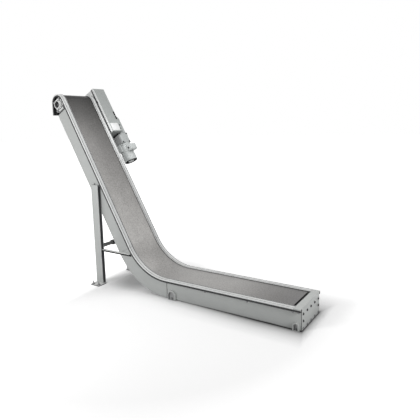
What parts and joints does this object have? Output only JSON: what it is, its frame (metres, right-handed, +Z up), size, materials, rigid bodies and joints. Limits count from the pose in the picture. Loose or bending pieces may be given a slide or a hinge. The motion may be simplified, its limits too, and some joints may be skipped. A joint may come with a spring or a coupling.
{
  "type": "magnetic slide conveyor",
  "caption": "Floor-standing slide conveyor: flat load section, bend, steep incline with side rims and smooth slider bed, leg frame, head bearing and geared drive under a side guard.",
  "frame": {"origin": "middle of the load section's underside, where it stands on the floor", "axes": "+X along the load section towards its closed tail end, +Y towards the drive side, +Z up"},
  "size_m": [2.9571, 0.814, 2.1136],
  "materials": {
    "frame_paint": "satin",
    "rim_paint": "satin",
    "bed_steel": "brushed",
    "bearing_iron": "painted",
    "shaft_steel": "turned",
    "dark_steel": "satin",
    "drive_paint": "satin"
  },
  "bodies": {
    "conveyor": {"side_frame_near_load": "frame_paint", "side_frame_near_bend": "frame_paint", "side_frame_near_incline": "frame_paint", "side_frame_far_load": "frame_paint", "side_frame_far_bend": "frame_paint", "side_frame_far_incline": "frame_paint", "bottom_pan_load": "frame_paint", "bottom_pan_bend": "frame_paint", "bottom_pan_incline": "frame_paint", "tail_end_plate": "frame_paint", "tail_cap": "frame_paint", "leg_near": "frame_paint", "leg_far": "frame_paint", "foot_plate_near": "frame_paint", "foot_plate_far": "frame_paint", "cross_tie": "frame_paint", "brace_near": "frame_paint", "brace_far": "frame_paint", "floor_lug_near_tail": "frame_paint", "floor_lug_far_tail": "frame_paint", "floor_lug_near_mid": "frame_paint", "floor_lug_far_mid": "frame_paint", "drive_plate": "frame_paint", "drive_guard": "frame_paint", "gear_bracket": "frame_paint", "side_rim_near_load": "rim_paint", "side_rim_near_bend": "rim_paint", "side_rim_near_incline": "rim_paint", "side_rim_near_head": "rim_paint", "side_rim_far_load": "rim_paint", "side_rim_far_bend": "rim_paint", "side_rim_far_incline": "rim_paint", "side_rim_far_head": "rim_paint", "slide_bed_load": "bed_steel", "slide_bed_bend": "bed_steel", "slide_bed_incline": "bed_steel", "slide_bed_head": "bed_steel", "bearing_housing_near": "bearing_iron", "bearing_housing_far": "bearing_iron", "head_plate_near": "dark_steel", "head_plate_far": "dark_steel", "gear_case": "drive_paint", "gear_reducer": "drive_paint", "motor_body": "drive_paint", "motor_fan_cowl": "drive_paint", "terminal_box": "drive_paint"},
    "head_shaft": {"head_shaft": "shaft_steel"}
  },
  "joints": [
    {"name": "head_shaft_turn", "type": "hinge", "parent": "conveyor", "child": "head_shaft", "pos_m": [-2.113, 0, 1.9202], "axis": [0, 1, 0], "continuous": true}
  ]
}
